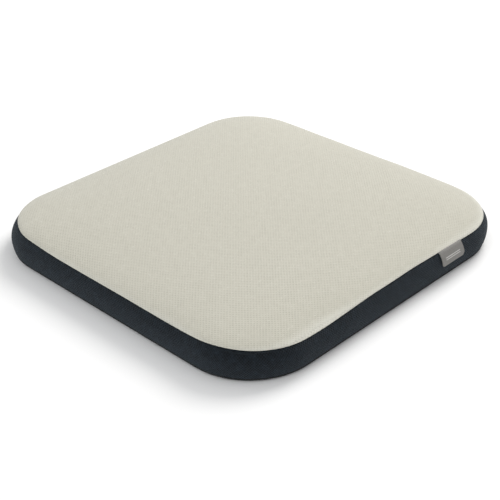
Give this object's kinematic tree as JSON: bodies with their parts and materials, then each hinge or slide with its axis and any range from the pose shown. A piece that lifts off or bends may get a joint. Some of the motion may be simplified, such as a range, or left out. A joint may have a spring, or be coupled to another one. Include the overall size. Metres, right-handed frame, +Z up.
{
  "type": "seat cushion",
  "caption": "Square padded seat cushion with a zipped fabric cover, a mesh side band, a layered foam core and a grip base.",
  "frame": {"origin": "middle of the footprint, on the surface that the cushion lies on", "axes": "+Z up, +Y to the rear (the zip), -Y to the front (the side label), +X to the cushion's right seen from the front"},
  "size_m": [0.38, 0.3813, 0.042],
  "materials": {
    "top_knit": "ribbed polyester mesh knit, matt",
    "band_mesh": "fine dotted mesh, matt",
    "base_fabric": "plain woven polyester, matt",
    "grip_silicone": "printed silicone dots, satin",
    "overlock_thread": "spun polyester thread",
    "liner_fabric": "thin plain woven liner",
    "soft_foam": "slow-recovery open-cell foam",
    "firm_foam": "firm open-cell foam",
    "zip_tape": "woven zip tape",
    "zip_nylon": "moulded nylon, satin",
    "zip_metal": "gunmetal-plated, satin",
    "woven_label": "folded woven ribbon, satin",
    "satin_label": "blank satin ribbon"
  },
  "bodies": {
    "cushion": {"top_panel": "top_knit", "border_band": "band_mesh", "rear_strip_upper": "band_mesh", "rear_strip_lower": "band_mesh", "base_panel": "base_fabric", "grip_layer": "grip_silicone", "top_seam_overlock": "overlock_thread", "base_seam_overlock": "overlock_thread", "liner_top": "liner_fabric", "liner_bottom": "liner_fabric", "comfort_foam": "soft_foam", "support_foam": "firm_foam", "zip_top_stop_upper": "zip_metal", "zip_top_stop_lower": "zip_metal", "zip_bottom_stop": "zip_metal", "care_label": "satin_label"},
    "upper_tape": {"zip_tape_upper": "zip_tape", "zip_teeth_upper": "zip_nylon"},
    "lower_tape": {"zip_tape_lower": "zip_tape", "zip_teeth_lower": "zip_nylon"},
    "slider": {"zip_slider": "zip_metal"},
    "pull": {"zip_pull": "zip_metal"},
    "label": {"side_label": "woven_label"}
  },
  "joints": [
    {"name": "zip_slide", "type": "slide", "parent": "cushion", "child": "slider", "axis": [-1, 0, 0], "range_m": [0, 0.2025], "deforming": ["zip_teeth_upper", "zip_teeth_lower"]},
    {"name": "upper_tape_part", "type": "slide", "parent": "cushion", "child": "upper_tape", "axis": [0, 0, 1], "range_m": [0, 0.0026]},
    {"name": "lower_tape_part", "type": "slide", "parent": "cushion", "child": "lower_tape", "axis": [0, 0, -1], "range_m": [0, 0.0026]},
    {"name": "pull_swing", "type": "hinge", "parent": "slider", "child": "pull", "pos_m": [0.1041, 0.18631, 0.01765], "axis": [0, 0, -1], "range_deg": [0, 160]},
    {"name": "label_lift", "type": "hinge", "parent": "cushion", "child": "label", "pos_m": [0.08, -0.1859, 0.0299], "axis": [-1, 0, 0], "range_deg": [0, 95]}
  ],
  "couplings": [
    {"joint": "upper_tape_part", "follows": "zip_slide", "ratio": 0.01283},
    {"joint": "lower_tape_part", "follows": "zip_slide", "ratio": 0.01283}
  ]
}
